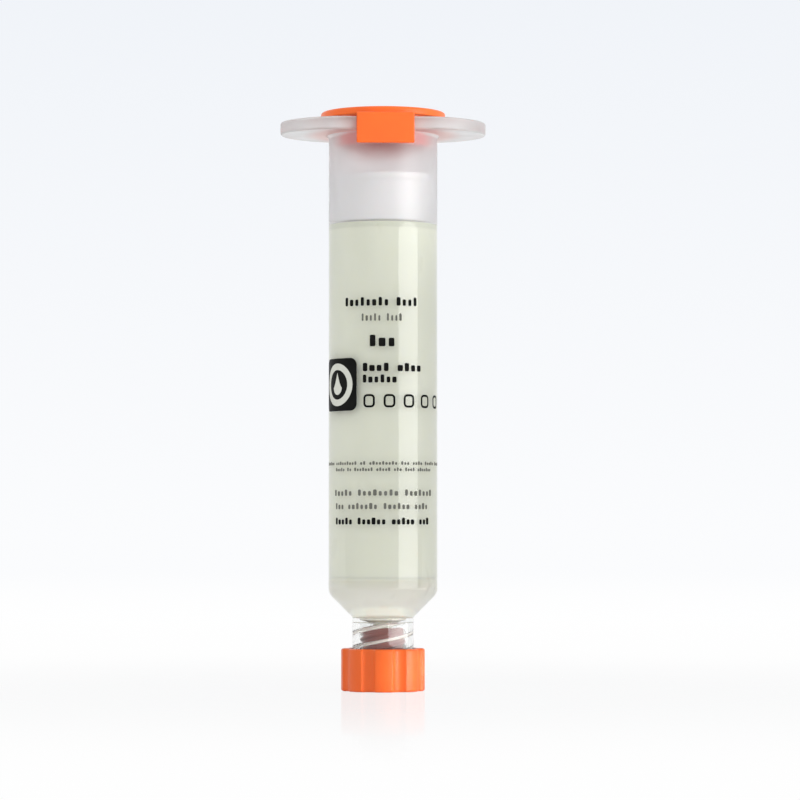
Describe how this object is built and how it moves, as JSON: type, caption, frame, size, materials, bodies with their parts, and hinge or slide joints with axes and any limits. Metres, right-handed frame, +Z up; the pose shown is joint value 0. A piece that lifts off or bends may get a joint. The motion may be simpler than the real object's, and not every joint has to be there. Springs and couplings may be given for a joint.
{
  "type": "flux syringe",
  "caption": "Clear luer-lock dispensing barrel filled with paste flux, with a finger flange, a wiper piston, a clip-on end cap and a fluted tip cap.",
  "frame": {"origin": "middle of the tip cap's flat underside, where the syringe stands", "axes": "+Z up the barrel's axis, X along the finger flange's wings, Y through the end cap's two clips"},
  "size_m": [0.035, 0.0232, 0.0983],
  "materials": {
    "clear_barrel": "clear natural polypropylene, smooth moulded, slightly milky",
    "flux_paste": "smooth pale greenish-beige paste",
    "white_piston": "smooth white moulded polyethylene",
    "orange_end_cap": "satin orange moulded polyethylene",
    "orange_tip_cap": "glossy orange moulded polypropylene"
  },
  "bodies": {
    "tip_cap": {"tip_cap": "orange_tip_cap"},
    "barrel": {"barrel": "clear_barrel", "flux": "flux_paste"},
    "piston": {"piston": "white_piston"},
    "end_cap": {"end_cap": "orange_end_cap"}
  },
  "joints": [
    {"name": "tip_cap_slide", "type": "slide", "parent": "tip_cap", "child": "barrel", "axis": [0, 0, 1], "range_m": [0, 0.012]},
    {"name": "piston_slide", "type": "slide", "parent": "barrel", "child": "piston", "axis": [0, 0, -1], "range_m": [0, 0.06], "deforming": ["flux"]},
    {"name": "end_cap_slide", "type": "slide", "parent": "barrel", "child": "end_cap", "axis": [0, 0, 1], "range_m": [0, 0.015]}
  ]
}
